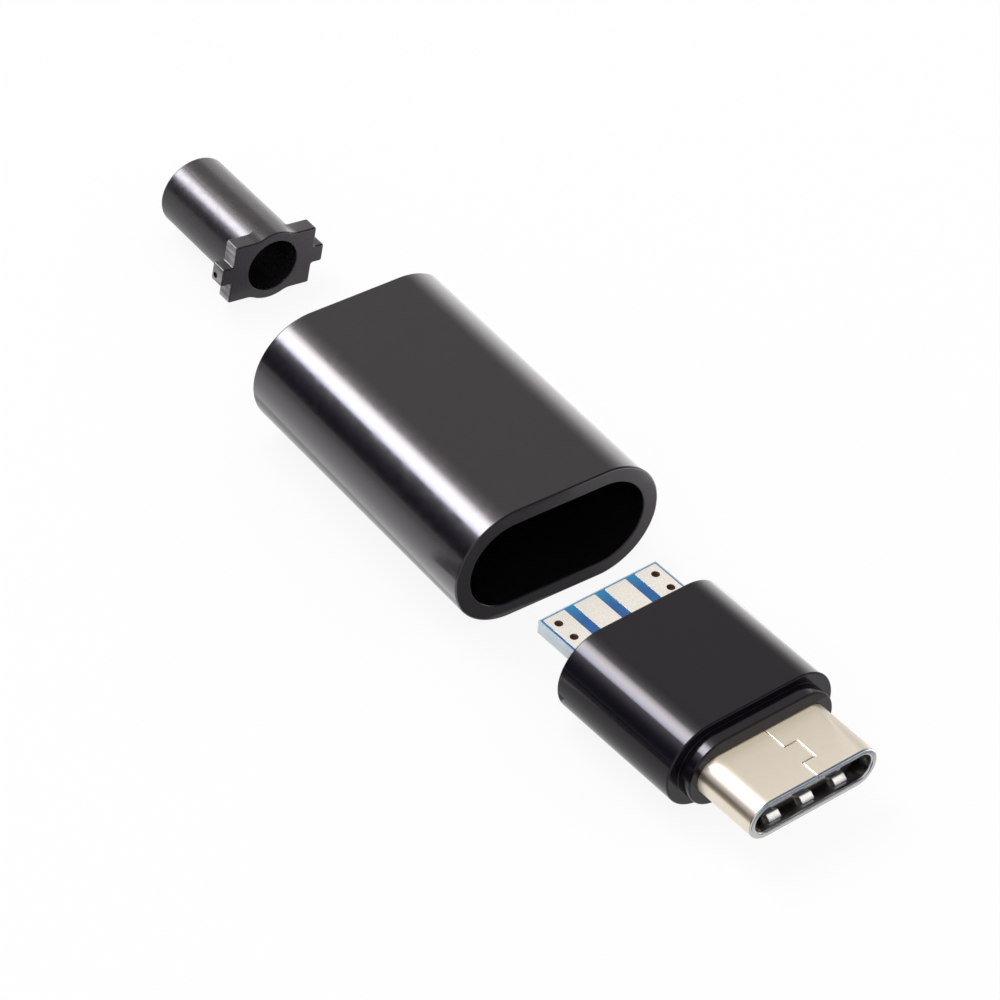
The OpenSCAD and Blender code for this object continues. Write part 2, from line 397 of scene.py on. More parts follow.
def box_of(node: str, turn: Matrix = Matrix.Identity(4)) -> tuple[Vector, Vector]:
    """Corners of a solid in millimetres, seen along axes that are turned in the frame.

    Args:
        node: The solid's name.
        turn: The turned axes.

    Returns:
        The lowest and the highest corner.
    """
    back = turn.inverted()
    points = [back @ (vertex.co / MM) for vertex in frame["nodes"][node].data.vertices]
    axes = list(zip(*points))
    return Vector([min(axis) for axis in axes]), Vector([max(axis) for axis in axes])


class NodeSheet:
    """A node tree under construction."""

    def __init__(self, tree: bpy.types.NodeTree) -> None:
        """Clears the tree and starts on it."""
        self.tree = tree
        self.tree.nodes.clear()

    def feed(self, socket: Socket, value: Any) -> None:
        """Gives an input its value.

        Args:
            socket: The input.
            value: A socket that is wired to it, or a plain value.
        """
        if isinstance(value, Socket):
            self.tree.links.new(value, socket)
        else:
            socket.default_value = value

    def add(self, kind: str, wires: dict[int | str, Any] | None = None, **settings: Any) -> bpy.types.Node:
        """Adds a node.

        Args:
            kind: The node's type name.
            wires: A socket or a plain value for each input.
            **settings: The node's own properties.

        Returns:
            The node.
        """
        node = self.tree.nodes.new(kind)
        for key, value in settings.items():
            setattr(node, key, value)
        for key, value in (wires or {}).items():
            self.feed(node.inputs[key], value)
        return node

    def math(self, operation: str, *values: float | Socket) -> Socket:
        """The result of one operation on values or sockets."""
        return self.add("ShaderNodeMath", dict(enumerate(values)), operation=operation).outputs[0]


class MaterialSheet(NodeSheet):
    """A material under construction, on Object coordinates."""

    def __init__(self, name: str) -> None:
        """Starts a material.

        Args:
            name: The material's name.
        """
        self.material = bpy.data.materials.new(name)
        self.material.use_nodes = True
        super().__init__(self.material.node_tree)

    @cached_property
    def place(self) -> Socket:
        """The surface's coordinates, in metres."""
        return self.add("ShaderNodeTexCoord").outputs["Object"]

    def along(self, axis: str) -> Socket:
        """One of the surface's coordinates, in metres."""
        return self.add("ShaderNodeSeparateXYZ", {0: self.place}).outputs[axis]

    def show(self, shader: bpy.types.Node) -> Material:
        """Wires a shader to the output, and returns the material."""
        self.add("ShaderNodeOutputMaterial", {"Surface": shader.outputs[0]})
        return self.material


class Surface(MaterialSheet):
    """A material with the shader of a solid piece."""

    def __init__(self, name: str) -> None:
        """Starts a material with a plain shader.

        Args:
            name: The material's name.
        """
        super().__init__(name)
        self.shader = self.add("ShaderNodeBsdfPrincipled")
        self.show(self.shader)

    def set(self, **values: Any) -> None:
        """Sets or wires the shader's sockets, with spaces written as underscores."""
        for key, value in values.items():
            self.feed(self.shader.inputs[key.replace("_", " ")], value)

    def noise(self, grain: float, detail: float = FINE, stretch: Triple = (1, 1, 1)) -> Socket:
        """Adds a noise.

        Args:
            grain: Width of its features, roughly.
            detail: How many finer noises are laid over it.
            stretch: How far the features are drawn out along each axis.

        Returns:
            The noise.
        """
        scale = [1 / (grain * MM * length) for length in stretch]
        spot = self.add("ShaderNodeMapping", {"Vector": self.place, "Scale": scale})
        wires = {"Vector": spot.outputs[0], "Scale": 1.0, "Detail": detail}
        return self.add("ShaderNodeTexNoise", wires).outputs["Fac"]

    def spread(self, source: Socket, low: float, high: float) -> Socket:
        """Maps the middle part of a noise to a range."""
        wires = {"Value": source, **NOISE_MIDDLE, "To Min": low, "To Max": high}
        return self.add("ShaderNodeMapRange", wires).outputs[0]

    def blend(self, share: Socket, first: Colour | Socket, second: Colour | Socket) -> Socket:
        """Mixes two colours.

        Args:
            share: The second colour's share.
            first: The first colour.
            second: The second colour.

        Returns:
            The mixed colour.
        """
        pair = [(*c, 1) if isinstance(c, tuple) else c for c in (first, second)]
        wires = {0: share, MIX_FIRST: pair[0], MIX_SECOND: pair[1]}
        return self.add("ShaderNodeMix", wires, data_type="RGBA").outputs[MIX_RESULT]

    def bump(self, height: Socket, rise: float) -> Socket:
        """A relief of that rise, in millimetres."""
        wires = {"Height": height, "Distance": rise * MM, "Strength": 1.0}
        return self.add("ShaderNodeBump", wires).outputs[0]


@dataclass(frozen=True)
class MouldedPlastic:
    """Moulded plastic with the faint orange peel of a polished mould."""

    name: str
    colour: Colour
    second: Colour
    roughness: Pair
    grain: float = 0.5
    relief: float = 0.0004
    gloss: float = 0.5
    tint: Colour = (1.0, 0.93, 0.98)
    cloud_grains: float = 6

    def material(self) -> Material:
        """Builds the material.

        Returns:
            The material.
        """
        surface = Surface(self.name)
        cloud = surface.noise(self.cloud_grains * self.grain, CLOUDED)
        fine = surface.noise(self.grain)
        surface.set(
            Base_Color=surface.blend(cloud, self.colour, self.second),
            Roughness=surface.spread(fine, *self.roughness),
            Specular_IOR_Level=self.gloss,
            Specular_Tint=(*self.tint, 1),
            Normal=surface.bump(fine, self.relief),
        )
        return surface.material


@dataclass(frozen=True)
class PlatedMetal:
    """Plated or tinned sheet with a fine grain.

    Where it is brushed, it blurs what it mirrors along X.
    """

    name: str
    colour: Colour
    second: Colour
    roughness: Pair
    grain: float = 0.06
    stretch: Triple = (1, 1, 1)
    relief: float = 0.0005
    metal: float = 1.0
    brushed: float = 0.0
    cloud_grains: float = 12

    def material(self) -> Material:
        """Builds the material.

        Returns:
            The material.
        """
        surface = Surface(self.name)
        lines = surface.noise(self.grain, FINE, self.stretch)
        cloud = surface.noise(self.cloud_grains * self.grain, CLOUDED)
        if self.brushed:
            way = surface.add("ShaderNodeTangent", direction_type="RADIAL", axis="X").outputs[0]
            surface.set(Anisotropic=self.brushed, Anisotropic_Rotation=QUARTER_TURN, Tangent=way)
        surface.set(
            Base_Color=surface.blend(cloud, self.colour, self.second),
            Metallic=self.metal,
            Roughness=surface.spread(lines, *self.roughness),
            Normal=surface.bump(lines, self.relief),
        )
        return surface.material


@dataclass(frozen=True)
class SolderMask:
    """Glossy mask that stops short of the board's edges, where the laminate shows."""

    name: str
    colour: Colour
    second: Colour
    thin: Colour
    bare: Colour
    half_width: float
    rear: float
    margin: float = 0.07
    fade: float = 1.3
    cloud: float = 0.5
    weave: float = 0.16
    roughness: Pair = (0.16, 0.28)
    gloss: float = 0.3
    relief: float = 0.0006

    def material(self) -> Material:
        """Builds the material.

        Returns:
            The material.
        """
        surface = Surface(self.name)
        cloud = surface.noise(self.cloud)
        weave = surface.noise(self.weave, CLOUDED)
        side = surface.math("ABSOLUTE", surface.along("Y"))
        past_side = surface.math("GREATER_THAN", side, (self.half_width - self.margin) * MM)
        past_rear = surface.math("LESS_THAN", surface.along("X"), (self.rear + self.margin) * MM)
        edge = surface.math("MAXIMUM", past_side, past_rear)
        mask = surface.blend(cloud, self.colour, self.second)
        reach = {"From Min": self.rear * MM, "From Max": (self.rear + self.fade) * MM}
        inward = surface.add("ShaderNodeMapRange", {"Value": surface.along("X"), **reach}).outputs[0]
        surface.set(
            Base_Color=surface.blend(edge, surface.blend(inward, self.thin, mask), self.bare),
            Roughness=surface.spread(cloud, *self.roughness),
            Specular_IOR_Level=self.gloss,
            Normal=surface.bump(weave, self.relief),
        )
        return surface.material


@dataclass(frozen=True)
class SawnEdge:
    """A sawn or trimmed edge, with the level lines of its layers or of the blade."""

    name: str
    colour: Colour
    second: Colour
    layer: float = 0.12
    layer_stretch: Triple = (6, 6, 1)
    fibre: float = 0.05
    roughness: Pair = (0.45, 0.65)
    relief: float = 0.002
    seep_share: float = 0.15
    seep_depth: float = 0.4

    def material(self) -> Material:
        """Builds the material, into which light seeps a little.

        Returns:
            The material.
        """
        surface = Surface(self.name)
        layers = surface.noise(self.layer, CLOUDED, self.layer_stretch)
        fibres = surface.noise(self.fibre)
        surface.set(
            Base_Color=surface.blend(surface.spread(layers, 0.0, 1.0), self.colour, self.second),
            Roughness=surface.spread(fibres, *self.roughness),
            Normal=surface.bump(fibres, self.relief),
            Subsurface_Weight=self.seep_share,
            Subsurface_Radius=[self.seep_depth * MM] * 3,
            Subsurface_Scale=1.0,
        )
        return surface.material


GLOSS_BLACK = MouldedPlastic("gloss_black", (0.0045, 0.004, 0.005), (0.007, 0.006, 0.007), (0.13, 0.2))
SATIN_BLACK = MouldedPlastic(
    "satin_black", (0.004, 0.0035, 0.006), (0.006, 0.005, 0.008), (0.11, 0.14), gloss=0.26
)
DULL_BLACK = MouldedPlastic("dull_black", (0.008, 0.007, 0.008), (0.012, 0.01, 0.012), (0.24, 0.3))
MATT_BLACK = MouldedPlastic("matt_black", (0.008, 0.008, 0.009), (0.012, 0.012, 0.013), (0.4, 0.55), 0.2)
TRIMMED_BLACK = SawnEdge("trimmed_black", (0.055, 0.05, 0.056), (0.36, 0.33, 0.34), 0.2)
NICKEL = PlatedMetal(
    "nickel", (0.845, 0.765, 0.645), (0.875, 0.795, 0.67), (0.34, 0.36), 0.03, (1, 14, 14),
    relief=0.00002, metal=0.92, brushed=0.9,
)
# Darker, bluer and glossier nickel for the shell's rim and inside: painted shade.
SHADED_NICKEL = PlatedMetal("shaded_nickel", (0.52, 0.5, 0.47), (0.56, 0.54, 0.51), (0.2, 0.22), 0.03)
# Paler, rougher nickel for the seam's edges: partly sheared metal, partly painted highlight on the runs
# along X.
SHEARED_EDGE_AND_HIGHLIGHT = PlatedMetal("sheared_edge_and_highlight", (0.88, 0.83, 0.75), (0.94, 0.9, 0.83), (0.5, 0.6), 0.03)
SPRING_STEEL = PlatedMetal(
    "spring_steel", (0.92, 0.9, 0.87), (0.96, 0.94, 0.91), (0.2, 0.28), 0.05, (6, 1, 1), metal=0.85
)
GOLD = PlatedMetal("gold", (0.82, 0.6, 0.25), (0.88, 0.66, 0.3), (0.16, 0.26), 0.05, (6, 1, 1))
TIN = PlatedMetal("tin", (0.78, 0.75, 0.69), (0.86, 0.83, 0.77), (0.2, 0.3), 0.12, (1, 1, 1), 0.002)
# Dark bluish colour for the pads' sides and rounded edges: painted shade in place of their glints.
PAD_EDGE_SHADE = PlatedMetal("pad_edge_shade", (0.3, 0.37, 0.44), (0.36, 0.43, 0.5), (0.4, 0.5), metal=0.3)
VIA_COPPER = PlatedMetal("via_copper", (0.3, 0.14, 0.09), (0.2, 0.1, 0.07), (0.4, 0.6), metal=0.5)
PALE_LAMINATE = SawnEdge("pale_laminate", (0.66, 0.72, 0.75), (0.55, 0.64, 0.69))


class RowTree(NodeSheet):
    """Geometry nodes that repeat one shape along a row, with named inputs for its sizes."""

    NAME: str
    SOURCE: str
    RESULT: str
    INPUTS: dict[str, str]
    JOINED: bool

    def __init__(self) -> None:
        """Makes the inputs, and gives the shape built from them its finish."""
        super().__init__(bpy.data.node_groups.new(self.NAME, "GeometryNodeTree"))
        interface = self.tree.interface
        interface.new_socket(self.SOURCE, in_out="INPUT", socket_type="NodeSocketGeometry")
        interface.new_socket(self.RESULT, in_out="OUTPUT", socket_type="NodeSocketGeometry")
        self.keys = {}
        for name, kind in self.INPUTS.items():
            socket = interface.new_socket(name, in_out="INPUT", socket_type="NodeSocket" + kind)
            self.keys[name] = socket.identifier
        given = self.add("NodeGroupInput").outputs
        painted = self.add("GeometryNodeSetMaterial", {0: self.shape(given), "Material": given["Finish"]})
        self.add("NodeGroupOutput", {0: painted.outputs[0]})

    def shape(self, given: Sockets) -> Socket:
        """Builds the row from the inputs, in each kind of row's own way."""
        raise NotImplementedError

    def rounded(self, curve: Socket, radius: Socket) -> Socket:
        """Rounds the corners of a curve."""
        wires = {"Curve": curve, "Radius": radius, "Count": ROUND_STEPS}
        return self.add("GeometryNodeFilletCurve", wires, mode="POLY").outputs[0]

    def line(self, count: Socket, start: Socket, pitch: Socket) -> Socket:
        """Lays out points along Y.

        Args:
            count: Number of points.
            start: The first point.
            pitch: Distance from one point to the next.

        Returns:
            The points.
        """
        step = self.add("ShaderNodeCombineXYZ", {"Y": pitch}).outputs[0]
        wires = {"Count": count, "Start Location": start, "Offset": step}
        return self.add("GeometryNodeMeshLine", wires).outputs[0]

    def copies(self, shape: Socket, points: Socket, chosen: Socket | bool = True) -> Socket:
        """Puts a copy of a shape on each chosen point.

        Args:
            shape: The shape.
            points: The points.
            chosen: Whether a point is chosen.

        Returns:
            The copies, as one mesh.
        """
        wires = {"Points": points, "Selection": chosen, "Instance": shape}
        row = self.add("GeometryNodeInstanceOnPoints", wires).outputs[0]
        return self.add("GeometryNodeRealizeInstances", {0: row}).outputs[0]

    def row(self, name: str, points: Sequence[Triple | Vector], **inputs: Any) -> Piece:
        """Makes an object of one row.

        Args:
            name: The object's name.
            points: The points that the tree starts from.
            **inputs: The tree's inputs by name.

        Returns:
            The object, with the tree as its only modifier.
        """
        bm = bmesh.new()
        spots = [bm.verts.new(point) for point in points]
        if self.JOINED:
            for pair in zip(spots, spots[1:]):
                bm.edges.new(pair)
        piece = object_of(bm, name)
        modifier = piece.modifiers.new("row", "NODES")
        modifier.node_group = self.tree
        for key, value in inputs.items():
            modifier[self.keys[key]] = value
        return piece


class StripRow(RowTree):
    """Bends one strip along its path and repeats it at the filled places of a row."""

    NAME = "strip_row"
    SOURCE = "Path"
    RESULT = "Strips"
    INPUTS = {
        "Count": "Int", "Filled": "Int", "Start": "Float", "Pitch": "Float",
        "Width": "Float", "Thickness": "Float", "Bend": "Float", "Finish": "Material",
    }
    JOINED = True

    def filled(self, code: Socket) -> Socket:
        """Reads from a whole number, one bit for each place, which places are filled.

        Args:
            code: The number.

        Returns:
            One for a filled place, or zero.
        """
        bit = self.math("POWER", 2.0, self.add("GeometryNodeInputIndex").outputs[0])
        whole = self.math("FLOOR", self.math("DIVIDE", code, bit))
        return self.math("MODULO", whole, 2.0)

    def shape(self, given: Sockets) -> Socket:
        """Builds the row of strips.

        Args:
            given: The tree's inputs.

        Returns:
            The strips.
        """
        path = self.add("GeometryNodeMeshToCurve", {"Mesh": given["Path"]}).outputs[0]
        bent = self.rounded(path, given["Bend"])
        upright = self.add("GeometryNodeSetCurveNormal", {"Curve": bent}, mode="Z_UP").outputs[0]
        sheet = {"Width": given["Width"], "Height": given["Thickness"]}
        profile = self.add("GeometryNodeCurvePrimitiveQuadrilateral", sheet).outputs[0]
        drawn = {"Curve": upright, "Profile Curve": profile, "Fill Caps": True}
        strip = self.add("GeometryNodeCurveToMesh", drawn).outputs[0]
        first = self.add("ShaderNodeCombineXYZ", {"Y": given["Start"]}).outputs[0]
        places = self.line(given["Count"], first, given["Pitch"])
        return self.copies(strip, places, self.filled(given["Filled"]))


class PadRow(RowTree):
    """Repeats a round-cornered pad along a row and drills the pads at given points."""

    NAME = "pad_row"
    SOURCE = "Holes"
    RESULT = "Pads"
    INPUTS = {
        "Count": "Int", "Start": "Vector", "Pitch": "Float", "Length": "Float", "Width": "Float",
        "Corner": "Float", "Thickness": "Float", "Hole": "Float", "Finish": "Material",
    }
    JOINED = False

    def shape(self, given: Sockets) -> Socket:
        """Builds the row of pads.

        Args:
            given: The tree's inputs.

        Returns:
            The drilled pads.
        """
        sides = {"Width": given["Length"], "Height": given["Width"]}
        outline = self.add("GeometryNodeCurvePrimitiveQuadrilateral", sides).outputs[0]
        soft = self.rounded(outline, given["Corner"])
        foot = self.add("GeometryNodeFillCurve", {"Curve": soft}, mode="NGONS").outputs[0]
        rise = {"Mesh": foot, "Offset Scale": given["Thickness"], "Individual": False}
        body = self.add("GeometryNodeExtrudeMesh", rise).outputs[0]
        under = self.add("GeometryNodeFlipFaces", {0: foot}).outputs[0]
        joined = self.add("GeometryNodeJoinGeometry")
        for half in (body, under):
            self.tree.links.new(half, joined.inputs[0])
        welded = {"Geometry": joined.outputs[0], "Distance": WELD}
        slab = self.add("GeometryNodeMergeByDistance", welded).outputs[0]
        pads = self.copies(slab, self.line(given["Count"], given["Start"], given["Pitch"]))
        bore = {"Vertices": HOLE_SIDES, "Radius": given["Hole"], "Depth": HOLE_REACH}
        bit = self.add("GeometryNodeMeshCylinder", bore).outputs[0]
        cut = {0: pads, 1: self.copies(bit, given["Holes"])}
        return self.add("GeometryNodeMeshBoolean", cut, operation="DIFFERENCE").outputs[0]


@dataclass
class Housing:
    """The slide-on sleeve with its round rear outlet."""

    yaw: float = -3.44
    wall: float = 0.93
    back: float = 1.2
    hole: float = 4.44
    edge_round: float = 0.12
    inner_round: float = 0.08

    def build(self) -> Piece:
        """Lofts the sleeve as one closed skin.

        Returns:
            The sleeve.
        """
        turn = Matrix.Rotation(math.radians(self.yaw), 4, "Z")
        low, high = box_of("housing", turn)
        size = high - low
        rear = -size.x
        inside = rear + self.back
        wide = (size.y, size.z)
        hollow = (size.y - 2 * self.wall, size.z - 2 * self.wall)
        outlet = (self.hole, self.hole)
        stations = [
            *rounded_edge(rear, outlet, self.inner_round, Face.OUTSIDE, Wall.AHEAD),
            *reversed(rounded_edge(rear, wide, self.edge_round, Face.INSIDE, Wall.AHEAD)),
            *rounded_edge(0, wide, self.edge_round, Face.INSIDE, Wall.BEHIND),
            *reversed(rounded_edge(0, hollow, self.inner_round, Face.OUTSIDE, Wall.BEHIND)),
            *rounded_edge(inside, hollow, self.inner_round, Face.INSIDE, Wall.AHEAD),
            *reversed(rounded_edge(inside, outlet, self.inner_round, Face.OUTSIDE, Wall.BEHIND)),
        ]
        piece = object_of(loft([ring(s.x, section(s.width, s.height)) for s in stations], True), "sleeve")
        middle = (low + high) / 2
        settle(piece, turn @ Matrix.Translation((high.x, middle.y, middle.z)))
        adopt(piece, Slot.PLASTIC, "housing")
        return piece

    def dress(self, piece: Piece) -> None:
        """Finishes the sleeve in gloss black."""
        dress(piece, GLOSS_BLACK.material())


@dataclass
class StrainRelief:
    """The tube with its toothed flange, which lies rolled onto the corner of one ear."""

    yaw: float = -3.2
    flange: float = 0.98
    ear_w: float = 5.3
    ear_h: float = 3.62
    tooth_reach: float = 0.68
    tooth_h: float = 1.1
    fillet: float = 1.2
    corner: float = 0.12
    edge_round: float = 0.1
    bore_round: float = 0.05
    gate: float = 0.36
    gate_depth: float = 0.12
    gate_back: float = 0.14
    gate_drop: float = 0.13
    gate_round: float = 0.02

    def arcs(self, radius: float) -> list[Arc]:
        """Arcs round a quarter of the flange.

        Args:
            radius: Radius of the tube.

        Returns:
            The arcs of the end tooth, its root, the ear, the fillet and the tube.
        """
        tooth_y, tooth_z = self.ear_w / 2 + self.tooth_reach, self.tooth_h / 2
        ear_y, ear_z = self.ear_w / 2, self.ear_h / 2
        fillet_z = ear_z + self.fillet
        fillet_y = math.sqrt((radius + self.fillet) ** 2 - fillet_z ** 2)
        touch = math.degrees(math.atan2(fillet_z, fillet_y))
        return [
            Arc(tooth_y - self.corner, tooth_z - self.corner, self.corner, 0, 90),
            Arc(ear_y + self.corner, tooth_z + self.corner, -self.corner, 90, 0),
            Arc(ear_y - self.corner, ear_z - self.corner, self.corner, 0, 90),
            Arc(fillet_y, fillet_z, -self.fillet, 90, touch),
            Arc(0, 0, radius, touch, 90, 2 * ROUND_STEPS),
        ]

    def outline(self, radius: float, inset: float = 0.0) -> list[Vector]:
        """Points round the flange.

        Args:
            radius: Radius of the tube.
            inset: How far the outline is drawn in.

        Returns:
            The points, as (y, z).
        """
        quarter = [Vector((self.ear_w / 2 + self.tooth_reach - inset, 0))]
        for arc in self.arcs(radius):
            points = arc.points(inset)
            last = quarter[-1]
            quarter.extend(last.lerp(points[0], i / STRAIGHT_STEPS) for i in range(1, STRAIGHT_STEPS))
            quarter.extend(points)
        half = quarter + [Vector((-y, z)) for y, z in reversed(quarter)]
        return half + [-point for point in half]

    def rings(self, radius: float, bore: float, rear: float) -> list[list[Vector]]:
        """Rings from the bore's front edge over the flange and along the tube to the bore's rear edge.

        Args:
            radius: Radius of the tube.
            bore: Radius of the bore.
            rear: Place of the tube's rear end behind the flange's face.

        Returns:
            The rings in order.
        """
        ways = [point.normalized() / 2 for point in self.outline(radius)]
        wide, hole = (2 * radius, 2 * radius), (2 * bore, 2 * bore)
        front = rounded_edge(0, (0, 0), self.edge_round, Face.INSIDE, Wall.BEHIND)
        back = rounded_edge(-self.flange, (0, 0), self.edge_round, Face.INSIDE, Wall.AHEAD)
        outlet = rounded_edge(0, hole, self.bore_round, Face.OUTSIDE, Wall.BEHIND)
        tube = [
            Station(-self.flange, *wide),
            *rounded_edge(rear, wide, self.edge_round, Face.INSIDE, Wall.AHEAD),
            *reversed(rounded_edge(rear, hole, self.bore_round, Face.OUTSIDE, Wall.AHEAD)),
        ]
        rings = [ring(s.x, [way * s.width for way in ways]) for s in outlet]
        rings.extend(ring(s.x, self.outline(radius, -s.width / 2)) for s in reversed(front))
        for s in back:
            drawn = self.outline(radius, -s.width / 2)
            rings.append(ring(s.x, [point * max(1, radius / point.length) for point in drawn]))
        rings.extend(ring(s.x, [way * s.width for way in ways]) for s in tube)
        return rings

    def build(self) -> Piece:
        """Lofts the tube and its flange as one skin, and cuts the gate's mark.

        Returns:
            The tube, with the trimmed faces of one ear and its tooth marked.
        """
        low, high = box_of("strain_relief")
        radius = (high.z - low.z) / 2
        diagonal = math.hypot(self.ear_w, self.ear_h)
        roll = math.atan2(self.ear_h, self.ear_w) - math.asin(2 * radius / diagonal)
        turn = Matrix.Rotation(math.radians(self.yaw), 4, "Z") @ Matrix.Rotation(roll, 4, "X")
        low, high = box_of("strain_relief", turn)
        bore = next(m for m in frame["record"]["mounts"] if m["name"] == "cable_bore")["dims"]["r_mm"]
        skin = loft(self.rings(radius, bore, low.x - high.x), True)
        for face in skin.faces:
            at_end = face.calc_center_median().y < self.corner - self.ear_w / 2
            face.material_index = int(at_end and face.normal.y < -FACING)
        piece = object_of(skin, "relief_tube")
        side = -self.ear_w / 2 - self.tooth_reach
        spot = Vector((-self.flange / 2 - self.gate_back, side, -self.gate_drop))
        reach = Vector((0, self.gate_depth, 0))
        tools = drill(piece, [rod(spot - reach, spot + reach, self.gate / 2)])
        add_bevel(piece, self.gate_round)
        middle = (low + high) / 2
        settle(piece, turn @ Matrix.Translation((high.x, middle.y, middle.z)), tools)
        adopt(piece, Slot.PLASTIC, "strain_relief")
        return piece

    def dress(self, piece: Piece) -> None:
        """Finishes the tube in dull black, with the trimmed ends of one ear and its tooth paler."""
        dress(piece, DULL_BLACK.material(), TRIMMED_BLACK.material())


@dataclass
class Overmold:
    """The moulded body of the insert, with its collar, the shell's pocket and the board's pocket."""

    length: float = 8.44
    collar_w: float = 9.3
    collar_h: float = 4.1
    edge_round: float = 0.1
    collar_round: float = 0.1
    lip_round: float = 0.05
    root_round: float = 0.03
    pocket: float = 1.0

    def build(self) -> Piece:
        """Lofts the body from the board's pocket round to the shell's pocket.

        Returns:
            The body.
        """
        low, high = box_of("overmold")
        board_low, board_high = box_of("pcb")
        shell_low, shell_high = box_of("shell")
        step = low.x + self.length
        wide = (high.y - low.y, high.z - low.z)
        collar = (self.collar_w, self.collar_h)
        shell = (shell_high.y - shell_low.y, shell_high.z - shell_low.z)
        stations = [
            *reversed(rounded_edge(low.x, wide, self.edge_round, Face.INSIDE, Wall.AHEAD)),
            *rounded_edge(step, wide, self.edge_round, Face.INSIDE, Wall.BEHIND),
            *reversed(rounded_edge(step, collar, self.root_round, Face.OUTSIDE, Wall.AHEAD)),
            *rounded_edge(high.x, collar, self.collar_round, Face.INSIDE, Wall.BEHIND),
            *reversed(rounded_edge(high.x, shell, self.lip_round, Face.OUTSIDE, Wall.BEHIND)),
            Station(shell_low.x, *shell),
        ]
        rear = section(*wide)
        mouth = [
            (min(max(y, board_low.y), board_high.y), min(max(z, board_low.z), board_high.z)) for y, z in rear
        ]
        rings = [ring(low.x + self.pocket, mouth), ring(low.x, mouth)]
        rings.extend(ring(s.x, section(s.width, s.height)) for s in stations)
        piece = object_of(loft(rings), "overmold_body")
        settle(piece)
        adopt(piece, Slot.PLASTIC, "overmold")
        return piece

    def dress(self, piece: Piece) -> None:
        """Finishes the body in satin black."""
        dress(piece, SATIN_BLACK.material())


